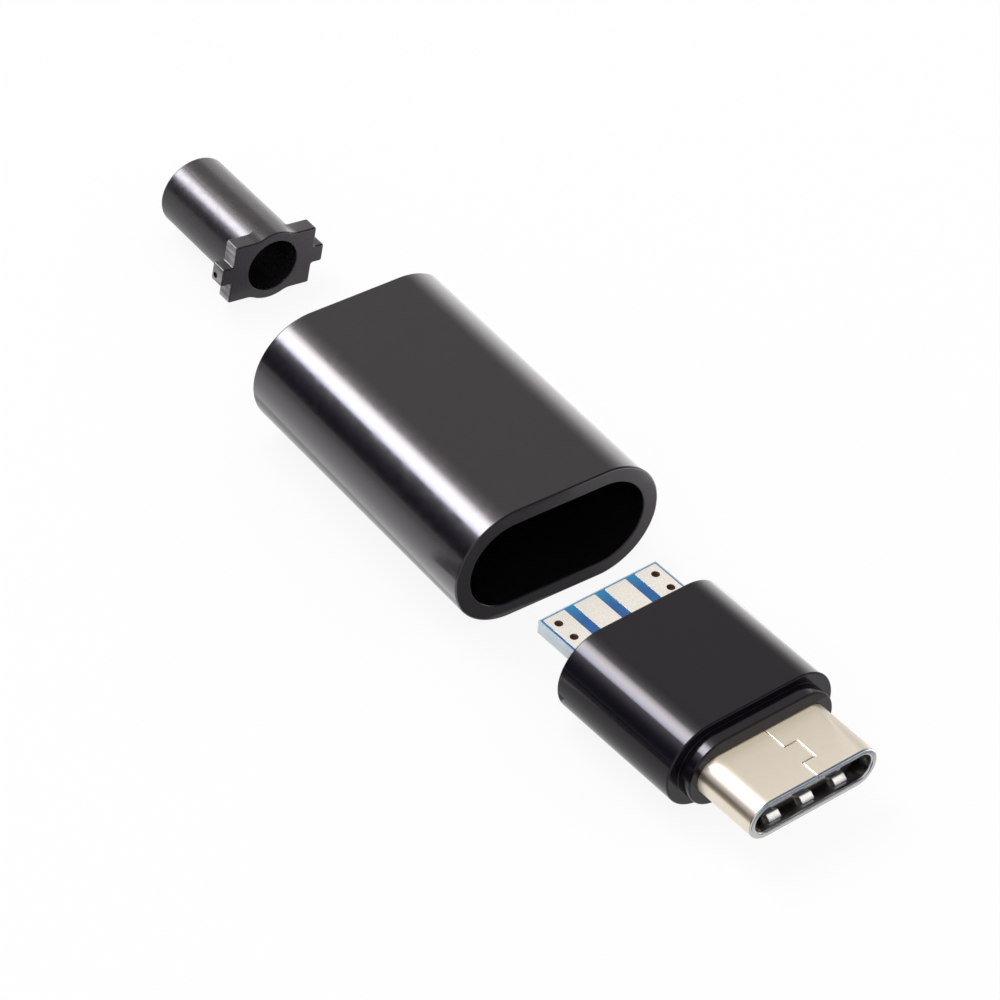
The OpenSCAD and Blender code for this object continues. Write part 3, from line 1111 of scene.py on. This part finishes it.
@dataclass
class Shell:
    """The folded steel shell, whose ends meet in a keyed seam on its top."""

    wall: float = 0.38
    seam_gap: float = 0.04
    seam_y: float = 0.05
    key_w: float = 0.84
    key_l: float = 1.33
    key_start: float = 1.13
    rim_round: float = 0.12
    seam_round: float = 0.32
    seam_level: float = 0.98

    def in_seam(self, x: float, y: float, rear: float) -> bool:
        """Whether a point of the top lies in the seam's gap.

        Args:
            x: The point's place along the shell.
            y: Its place across the shell.
            rear: The shell's rear end.

        Returns:
            True in the gap.
        """
        half = self.seam_gap / 2
        key_end = -self.key_start - self.key_l
        runs = [
            (self.seam_y, -self.key_start - half, 0.0),
            (self.seam_y + self.key_w, key_end - half, half - self.key_start),
            (self.seam_y, rear, key_end + half),
        ]
        if any(abs(y - middle) < half and start < x < end for middle, start, end in runs):
            return True
        crosses = (-self.key_start, key_end)
        between = self.seam_y - half < y < self.seam_y + self.key_w + half
        return between and any(abs(x - middle) < half for middle in crosses)

    def build(self) -> Piece:
        """Wraps the sheet round its section, cell by cell, and leaves the seam open.

        Returns:
            The shell.
        """
        low, high = box_of("shell")
        width, height = high.y - low.y, high.z - low.z
        half = self.seam_gap / 2
        lines = [self.seam_y + k + h for k in (self.key_w, 0) for h in (half, -half)]
        outer = section(width, height)
        inner = section(width - 2 * self.wall, height - 2 * self.wall)
        joint = ARC_STEPS + 1
        outer[joint:joint] = [(y, height / 2) for y in lines]
        inner[joint:joint] = [(y, height / 2 - self.wall) for y in lines]
        key_end = -self.key_start - self.key_l
        rows = [0.0, half - self.key_start, -half - self.key_start, key_end + half, key_end - half, low.x]
        bm = bmesh.new()
        skins = [[[bm.verts.new((x, y, z)) for y, z in side] for x in rows] for side in (outer, inner)]
        count = len(outer)
        solid = {
            (i, j)
            for i in range(len(rows) - 1)
            for j in range(count)
            if outer[j - 1][1] < height / 2 - WELD or outer[j][1] < height / 2 - WELD
            or not self.in_seam((rows[i] + rows[i + 1]) / 2, (outer[j - 1][0] + outer[j][0]) / 2, low.x)
        }
        for i, j in solid:
            for skin in skins:
                bm.faces.new((skin[i][j - 1], skin[i][j], skin[i + 1][j], skin[i + 1][j - 1]))
            walls = [
                ((i, (j - 1) % count), (i, j - 1), (i + 1, j - 1)),
                ((i, (j + 1) % count), (i, j), (i + 1, j)),
                ((i - 1, j), (i, j - 1), (i, j)),
                ((i + 1, j), (i + 1, j - 1), (i + 1, j)),
            ]
            for neighbour, first, second in walls:
                if neighbour not in solid:
                    corners = [skins[0][first[0]][first[1]], skins[0][second[0]][second[1]]]
                    corners += [skins[1][second[0]][second[1]], skins[1][first[0]][first[1]]]
                    bm.faces.new(corners)
        loose = [vertex for vertex in bm.verts if not vertex.link_faces]
        bmesh.ops.delete(bm, geom=loose, context="VERTS")
        bmesh.ops.recalc_face_normals(bm, faces=bm.faces)
        bmesh.ops.dissolve_limit(bm, angle_limit=math.radians(FLAT_ANGLE), verts=bm.verts, edges=bm.edges)
        weights = bm.edges.layers.float.new("bevel_weight_edge")
        for edge in bm.edges:
            if edge.calc_face_angle(0) > math.radians(FOLD_ANGLE):
                at_rim = all(vertex.co.x > -WELD for vertex in edge.verts)
                edge[weights] = 1.0 if at_rim else self.seam_round
        piece = object_of(bm, "folded_shell")
        add_bevel(piece, self.rim_round, weighted=True)
        settle(piece)
        adopt(piece, Slot.SHELL, "shell")
        return piece

    def dress(self, piece: Piece) -> None:
        """Finishes the shell in satin nickel, darker at the rim and inside as painted shade, with the seam's
        edges paler as partly painted highlight.

        Args:
            piece: The shell.
        """
        dress(piece, NICKEL.material(), SHEARED_EDGE_AND_HIGHLIGHT.material(), SHADED_NICKEL.material())
        sheared, bright = 1, 2
        low, high = box_of("shell")
        radius = (high.z - low.z) / 2
        reach = (high.y - low.y) / 2 - radius
        seam_middle = self.seam_y + self.key_w / 2
        for face in piece.data.polygons:
            middle = face.center / MM
            by_seam = abs(middle.y - seam_middle) < self.key_w and middle.z > 0
            # Runs along X take the paler seam edge: partly sheared metal, partly painted highlight where
            # they catch the light.
            along = abs(face.normal.y) > abs(face.normal.x)
            depth = radius - math.hypot(max(abs(middle.y) - reach, 0), middle.z)
            # The rim and the inside take the darker, glossier nickel (index bright) as painted shade.
            if middle.x > -self.rim_round or depth > self.wall - WELD:
                face.material_index = bright
            elif by_seam and along and face.normal.z < self.seam_level:
                face.material_index = sheared


class BentStrips:
    """A piece of bent strips, which get their finish as they are made."""

    def dress(self, piece: Piece) -> None:
        """Keeps the finish that the strips were made with."""
        log.info("%s is in %s", piece.name, piece.data.materials[0].name)


@dataclass
class ShieldSpring(BentStrips):
    """A shielding spring: a seated strip with its fingers in the mouth."""

    node: str
    side: Side
    strips: StripRow
    sheet: float = 0.1
    seat: float = 0.5
    fingers: int = 3
    finger_w: float = 0.75
    finger_pitch: float = 2.14
    finger_step: float = 0.25
    finger_rise: float = 0.34
    finger_ramp: float = 0.34
    tip_clear: float = 0.03
    bend: float = 0.08
    edge_round: float = 0.015

    def build(self) -> Piece:
        """Bends the fingers and joins them to their strip.

        Returns:
            The spring.
        """
        low, high = box_of(self.node)
        sign = self.side.value
        wall = sign * max(abs(low.z), abs(high.z))
        seat_z = wall - sign * self.sheet / 2
        foot = low.x + self.seat + self.finger_step
        path = [
            (low.x + self.seat / 2, 0, seat_z),
            (foot, 0, seat_z),
            (foot + self.finger_step, 0, wall - sign * self.finger_rise),
            (foot + self.finger_step + self.finger_ramp, 0, seat_z - sign * self.tip_clear),
        ]
        piece = self.strips.row(
            self.node.replace("emc", "shield"), path, Count=self.fingers, Filled=2 ** self.fingers - 1,
            Start=-(self.fingers - 1) / 2 * self.finger_pitch, Pitch=self.finger_pitch, Width=self.finger_w,
            Thickness=self.sheet, Bend=self.bend, Finish=SPRING_STEEL.material(),
        )
        add_bevel(piece, self.edge_round)
        settle(piece)
        bm = bmesh.new()
        bm.from_mesh(piece.data)
        half_w, half_t = (high.y - low.y) / 2, self.sheet / 2
        spans = [(low.x, low.x + self.seat), (-half_w, half_w), (seat_z - half_t, seat_z + half_t)]
        for vertex in bmesh.ops.create_cube(bm, size=1.0)["verts"]:
            vertex.co = [span[value > 0] * MM for span, value in zip(spans, vertex.co)]
        bm.to_mesh(piece.data)
        bm.free()
        adopt(piece, Slot.SPRING, self.node)
        return piece


@dataclass
class ContactRow(BentStrips):
    """One row of spring contacts at its filled places."""

    letter: str
    side: Side
    places: tuple[int, ...]
    strips: StripRow
    pitch: float = 0.5
    most: int = 12
    sheet: float = 0.14
    bend: float = 0.1
    tip_share: float = 0.25
    hump_lead: float = 0.55
    hump_tail: float = 0.95
    hump_z: float = 0.4
    beam_z: float = 0.6
    holder_end: float = 7.75
    tail_bend: float = 0.15
    tail_rise: float = 0.6
    edge_round: float = 0.02

    def build(self) -> Piece:
        """Bends one contact along its side view and repeats it.

        Returns:
            The row of contacts.
        """
        low, high = box_of(f"contact_{self.letter}{self.places[0]}")
        sign = self.side.value
        beam_z = sign * self.beam_z
        tail_z = (high.z if self.side is Side.TOP else low.z) - sign * self.sheet / 2
        tip = high.x - self.tip_share * self.sheet
        path = [
            (tip, 0, beam_z),
            (tip - self.hump_lead, 0, sign * self.hump_z),
            (tip - self.hump_lead - self.hump_tail, 0, beam_z),
            (-self.holder_end - self.tail_bend, 0, beam_z),
            (-self.holder_end - self.tail_rise, 0, tail_z),
            (low.x, 0, tail_z),
        ]
        piece = self.strips.row(
            f"contact_row_{self.letter}", path, Count=self.most,
            Filled=sum(2 ** (place - 1) for place in self.places),
            Start=sign * (self.most - 1) / 2 * self.pitch, Pitch=-sign * self.pitch, Width=high.y - low.y,
            Thickness=self.sheet, Bend=self.bend, Finish=GOLD.material(),
        )
        add_bevel(piece, self.edge_round)
        settle(piece)
        adopt(piece, Slot.CONTACT, *(f"contact_{self.letter}{place}" for place in self.places))
        return piece


@dataclass
class SolderBoard:
    """The board behind the overmold, with its four tinned pads."""

    pads: PadRow
    via: float = 0.45
    via_edge: float = 0.8
    via_pitch: float = 1.2
    via_out: float = 0.18
    via_zone: float = 0.55
    edge_round: float = 0.03
    pad_round: float = 0.01
    pad_count: int = 4
    pad_corner: float = 0.08
    pad_level: float = 0.995

    def vias(self) -> list[Vector]:
        """Finds the vias, two in each of the outer pads.

        Returns:
            Their middles on the board's top.
        """
        low, high = box_of("pcb")
        pad_low, pad_high = box_of("solder_pad_4")
        side = (pad_low.y + pad_high.y) / 2 + self.via_out
        rows = [low.x + self.via_edge + i * self.via_pitch for i in (0, 1)]
        return [Vector((x, sign * side, high.z)) for sign in (-1, 1) for x in rows]

    def build(self) -> tuple[Piece, Piece]:
        """Drills the board and lays the pads on it.

        Returns:
            The board and the pads.
        """
        low, high = box_of("pcb")
        corners = [(low.y, low.z), (high.y, low.z), (high.y, high.z), (low.y, high.z)]
        board = object_of(loft([ring(low.x, corners), ring(high.x, corners)]), "board")
        down = Vector((0, 0, 2 * (high.z - low.z)))
        tools = drill(board, [rod(spot - down, spot + down, self.via / 2) for spot in self.vias()])
        add_bevel(board, self.edge_round)
        settle(board, tools=tools)
        adopt(board, Slot.BOARD, "pcb")
        pad_low, pad_high = box_of("solder_pad_1")
        size = pad_high - pad_low
        second = box_of("solder_pad_2")[0]
        start = Vector(((pad_low.x + pad_high.x) / 2, (pad_low.y + pad_high.y) / 2, pad_low.z))
        pads = self.pads.row(
            "tinned_pads", self.vias(), Count=self.pad_count, Start=start, Pitch=second.y - pad_low.y,
            Length=size.x, Width=size.y, Corner=self.pad_corner, Thickness=size.z, Hole=self.via / 2,
            Finish=TIN.material(),
        )
        add_bevel(pads, self.pad_round)
        settle(pads)
        adopt(pads, Slot.PAD, *(f"solder_pad_{i + 1}" for i in range(self.pad_count)))
        return board, pads

    def dress(self, board: Piece, pads: Piece) -> None:
        """Gives the board its mask, its sawn edges and its plated holes, and the pads' sides a dark bluish
        painted shade.

        Args:
            board: The board.
            pads: The pads, in their tin.
        """
        low, high = box_of("pcb")
        mask = SolderMask(
            "blue_mask", (0.008, 0.1, 0.31), (0.014, 0.125, 0.36), (0.02, 0.23, 0.46), (0.4, 0.5, 0.56),
            high.y, low.x,
        )
        dress(board, mask.material(), PALE_LAMINATE.material(), VIA_COPPER.material())
        sawn, plated = 1, 2
        spots = self.vias()
        for face in board.data.polygons:
            middle = face.center / MM
            in_via = any((middle - spot).xy.length < self.via_zone * self.via for spot in spots)
            if abs(face.normal.z) < FACING:
                face.material_index = plated if in_via else sawn
        # The pads' sides and rounded edges take painted shade.
        dress(pads, pads.data.materials[0], PAD_EDGE_SHADE.material())
        for face in pads.data.polygons:
            face.material_index = int(abs(face.normal.z) < self.pad_level)


@dataclass
class Core:
    """The moulded and stamped pieces inside the shell, which keep their solids."""

    moulded: tuple[str, ...] = ("insulator", "upper_contact_holder", "lower_contact_holder")
    stamped: tuple[str, ...] = ("latch",)

    def dress(self) -> None:
        """Finishes the solids as they are."""
        for names, finish in ((self.moulded, MATT_BLACK), (self.stamped, SPRING_STEEL)):
            material = finish.material()
            for name in names:
                dress(frame["nodes"][name], material)
                log.info("%s keeps its solid in %s", name, material.name)


@dataclass(frozen=True)
class Card:
    """A studio card that only gloss can see, with a glow that may change across it."""

    name: str
    middle: Triple
    across: Triple
    facing: Triple
    size: Pair
    strength: float
    stops: Stops

    def glow(self) -> Material:
        """Builds the glow, which runs from one side of the card to the other.

        Returns:
            The material.
        """
        sheet = MaterialSheet(self.name)
        half = self.size[0] * MM / 2
        wires = {"Value": sheet.along("X"), "From Min": -half, "From Max": half}
        share = sheet.add("ShaderNodeMapRange", wires)
        ramp = sheet.add("ShaderNodeValToRGB", {0: share.outputs[0]})
        stops = ramp.color_ramp.elements
        while len(stops) < len(self.stops):
            stops.new(0.5)
        for stop, (position, colour) in zip(stops, self.stops):
            stop.position = position
            stop.color = (*colour, 1)
        wires = {"Color": ramp.outputs[0], "Strength": self.strength}
        return sheet.show(sheet.add("ShaderNodeEmission", wires))

    def build(self) -> None:
        """Hangs the card in its place."""
        bm = bmesh.new()
        bmesh.ops.create_grid(bm, x_segments=1, y_segments=1, size=MM / 2)
        bmesh.ops.scale(bm, vec=(*self.size, 1), verts=bm.verts)
        card = object_of(bm, self.name)
        normal = Vector(self.facing).normalized()
        across = Vector(self.across)
        across = (across - normal * across.dot(normal)).normalized()
        turn = Matrix((across, normal.cross(across), normal)).transposed().to_4x4()
        card.matrix_world = Matrix.Translation(Vector(self.middle) * MM) @ turn
        card.data.materials.append(self.glow())
        card.visible_camera = False
        card.visible_diffuse = False
        card.visible_shadow = False


def grey(level: float) -> Colour:
    """A colour without a tint."""
    return (level, level, level)


def even(colour: Colour) -> Stops:
    """A glow that is the same all over its card."""
    return ((0.0, colour), (1.0, colour))


# Each card has its name, its middle, the way its glow runs, the way it faces, its size, and its glow's
# strength and stops.
CARDS = (
    # A box overhead, a dark card on the left, bright ones far and near, and a dim one on the right.
    Card(
        "overhead_box", (-390, 100, 500), (0, 1, 0), (0, 0, -1), (1040, 700), 28.0,
        (
            (0.0, (0.5, 0.55, 0.65)), (0.09, (0.82, 0.86, 0.95)), (0.2, grey(1.0)), (0.28, grey(0.72)),
            (0.35, (0.14, 0.138, 0.135)), (0.45, (0.064, 0.063, 0.061)),
            (0.553, (0.038, 0.037, 0.036)), (1.0, (0.027, 0.0265, 0.026)),
        ),
    ),
    Card(
        "dark_card", (-600, -560, 480), (0, 0, 1), (0.743, 0.669, 0), (965, 1300), 2.0,
        (
            (0.0, (0.15, 0.14, 0.17)), (0.05, (0.07, 0.065, 0.1)), (0.14, (0.025, 0.025, 0.05)),
            (0.22, (0.05, 0.05, 0.08)), (0.355, (0.15, 0.15, 0.19)), (0.495, (0.5, 0.5, 0.55)),
            (0.62, grey(1.0)),
        ),
    ),
    Card(
        "far_box", (-370, 500, 180), (0, 0, 1), (0.57, -0.82, 0), (365, 1200), 3.0,
        ((0.0, (1.0, 0.99, 0.98)), (0.3, (0.9, 0.88, 0.87)), (0.75, (0.45, 0.43, 0.42)), (1.0, grey(0.3))),
    ),
    Card(
        "far_board", (-150, 260, ON_TABLE), (0, 1, 0), (0, 0, 1), (500, 700), 3.0,
        ((0.0, grey(0.9)), (1.0, grey(1.0))),
    ),
    Card(
        "near_board", (-37, -20.5, ON_TABLE), (0, -1, 0), (0, 0, 1), (30, 40), 2.0,
        ((0.0, (0.95, 0.94, 0.96)), (0.25, (0.85, 0.84, 0.86)), (0.5, (0.7, 0.69, 0.7)), (1.0, grey(0.5))),
    ),
    Card(
        "front_card", (420, 330, 420), (0, 0, 1), (-0.62, -0.48, -0.62), (800, 900), 1.0,
        ((0.0, (0.14, 0.19, 0.28)), (1.0, (0.13, 0.15, 0.19))),
    ),
    # Small cards round the plug's nose, its collar and its fingers.
    Card(
        "nose_shade", (22.2, 10, ON_TABLE), (1, 0, 0), (0, 0, 1), (40, 30), 1.0,
        ((0.0, (0.19, 0.29, 0.48)), (1.0, (0.16, 0.24, 0.42))),
    ),
    Card("nose_side", (-3.75, 8, 1.22), (1, 0, 0), (0, -1, 0), (6.5, 7.55), 1.0, even((0.75, 0.74, 0.75))),
    # A glowing card just before the collar's front face, which the shell mirrors in place of the dark
    # collar: painted reflection.
    Card("collar_front_glow", (-3.86, 0, 1.74), (0, 1, 0), (1, 0, 0), (8.6, 1.06), 1.0, even((0.72, 0.68, 0.6))),
    Card("finger_glow", (0.1, 0.55, 0.25), (0, 1, 0), (-1, 0, 0), (5.1, 0.6), 1.2, even((1.0, 0.98, 0.95))),
    Card(
        "shell_shade", (-2.2, -5, 0.47), (0, 0, 1), (0, 1, 0), (1.1, 5), 1.0,
        (
            (0.0, (0.4, 0.35, 0.28)), (0.3, (0.06, 0.045, 0.03)), (0.65, (0.06, 0.05, 0.045)),
            (1.0, (0.35, 0.34, 0.34)),
        ),
    ),
    # Small cards before the housing's mouth and the flange, beside the tube and along the left.
    Card(
        "mouth_shade", (-17.2, 4, ON_TABLE), (0, 1, 0), (0, 0, 1), (20, 6.4), 1.0,
        (
            (0.0, (0.3, 0.29, 0.32)), (0.45, (0.38, 0.36, 0.39)), (0.75, (1.0, 0.95, 0.98)),
            (1.0, (1.6, 1.5, 1.6)),
        ),
    ),
    Card(
        "flange_shade", (-44.6, 4, ON_TABLE), (0, 1, 0), (0, 0, 1), (12, 5.4), 1.0,
        ((0.0, (0.4, 0.4, 0.48)), (0.4, (0.5, 0.5, 0.58)), (1.0, (1.3, 1.2, 1.3))),
    ),
    Card(
        "tube_side", (-55.75, 7, 0.75), (0, 0, 1), (0, -1, 0), (6.5, 10.5), 2.0,
        (
            (0.0, grey(0.3)), (0.218, grey(0.31)), (0.4, (0.9, 0.89, 0.89)),
            (0.555, (0.83, 0.81, 0.82)), (0.72, (0.88, 0.86, 0.87)), (1.0, (1.0, 0.98, 0.99)),
        ),
    ),
    Card(
        "left_shade", (-99, -136, ON_TABLE), (0.82, -0.566, 0), (0, 0, 1), (26, 290), 1.0,
        even((0.05, 0.05, 0.1)),
    ),
)


@dataclass
class Studio:
    """White table, white surroundings, a soft lamp, the cards and the camera."""

    focal: float = 173.22
    nearest: float = 5
    camera_at: Triple = (114.81, -122.49, 162.65)
    look_at: Triple = (-27.95, 3.07, -2.55)
    roll: float = 3.9
    table_size: float = 3000
    table_drop: float = 0.01
    table_white: float = 0.9
    table_glow: Pair = (0.9, 0.9)
    room_light: float = 0.75
    lamp_at: Triple = (-330, -40, 480)
    lamp_size: float = 300
    lamp_watts: float = 1.2

    def aimed(self, data: bpy.types.Camera | bpy.types.Light, at: Triple, roll: float = 0.0) -> Piece:
        """Args:
            data: The camera or the lamp.
            at: Its place.
            roll: Its turn about the line of sight, in degrees.

        Returns:
            The object.
        """
        thing = bpy.data.objects.new(data.name, data)
        bpy.context.scene.collection.objects.link(thing)
        back = (Vector(at) - Vector(self.look_at)).normalized()
        turn = back.to_track_quat("Z", "Y").to_matrix().to_4x4()
        tilt = Matrix.Rotation(math.radians(roll), 4, "Z")
        thing.matrix_world = Matrix.Translation(Vector(at) * MM) @ turn @ tilt
        return thing

    def camera(self) -> None:
        """Sets the camera at the photograph's viewing angle."""
        data = bpy.data.cameras.new("camera")
        data.lens = self.focal
        data.clip_start = self.nearest * MM
        bpy.context.scene.camera = self.aimed(data, self.camera_at, self.roll)

    def seen(self, sheet: NodeSheet, direct: float, mirrored: float, soft: float) -> Socket:
        """Picks a value by the kind of ray.

        Args:
            sheet: The tree to work in.
            direct: The value for rays from the camera.
            mirrored: The value for rays from gloss and glass.
            soft: The value for all other light.

        Returns:
            The picked value.
        """
        path = sheet.add("ShaderNodeLightPath").outputs
        either = sheet.math("MAXIMUM", path["Is Glossy Ray"], path["Is Transmission Ray"])
        lower = sheet.add("ShaderNodeMapRange", {"Value": either, "To Min": soft, "To Max": mirrored})
        upper = {"Value": path["Is Camera Ray"], "To Min": lower.outputs[0], "To Max": direct}
        return sheet.add("ShaderNodeMapRange", upper).outputs[0]

    def table(self) -> None:
        """Lays the white table under the pieces."""
        bm = bmesh.new()
        bmesh.ops.create_grid(bm, x_segments=1, y_segments=1, size=self.table_size * MM / 2)
        table = object_of(bm, "table")
        table.location.z = cad_box[0].z - self.table_drop * MM
        sheet = MaterialSheet("white_table")
        matt = sheet.add("ShaderNodeBsdfDiffuse", {"Color": (*grey(self.table_white), 1)})
        glow = sheet.add("ShaderNodeEmission", {"Color": WHITE, "Strength": 1.0})
        share = self.seen(sheet, *self.table_glow, 0.0)
        both = sheet.add("ShaderNodeMixShader", {0: share, 1: matt.outputs[0], 2: glow.outputs[0]})
        table.data.materials.append(sheet.show(both))

    def surroundings(self) -> None:
        """Makes the room white where it is seen, and soft where it only lights."""
        world = bpy.data.worlds.new("room")
        bpy.context.scene.world = world
        world.use_nodes = True
        sheet = NodeSheet(world.node_tree)
        level = self.seen(sheet, 1.0, 1.0, self.room_light)
        glow = sheet.add("ShaderNodeBackground", {"Color": WHITE, "Strength": level})
        sheet.add("ShaderNodeOutputWorld", {"Surface": glow.outputs[0]})

    def lamp(self) -> None:
        """Hangs the soft lamp, which lights but isn't mirrored."""
        data = bpy.data.lights.new("soft_lamp", "AREA")
        data.size = self.lamp_size * MM
        data.energy = self.lamp_watts
        self.aimed(data, self.lamp_at).visible_glossy = False

    def build(self) -> None:
        """Sets up the whole studio."""
        bpy.context.scene.view_settings.view_transform = "Standard"
        self.camera()
        self.table()
        self.surroundings()
        self.lamp()
        for card in CARDS:
            card.build()


def main() -> None:
    """Builds and dresses the pieces in order."""
    logging.basicConfig(level=logging.INFO, format="%(name)s: %(message)s")
    Studio().build()
    strips = StripRow()
    parts = [
        Housing(),
        StrainRelief(),
        Overmold(),
        Shell(),
        ShieldSpring("emc_spring_top", Side.TOP, strips),
        ShieldSpring("emc_spring_bottom", Side.BOTTOM, strips),
        ContactRow("a", Side.TOP, (1, 4, 5, 6, 7, 9, 12), strips),
        ContactRow("b", Side.BOTTOM, (1, 4, 5, 9, 12), strips),
    ]
    for part in parts:
        part.dress(part.build())
    board = SolderBoard(PadRow())
    board.dress(*board.build())
    Core().dress()


if __name__ == "__main__":
    main()
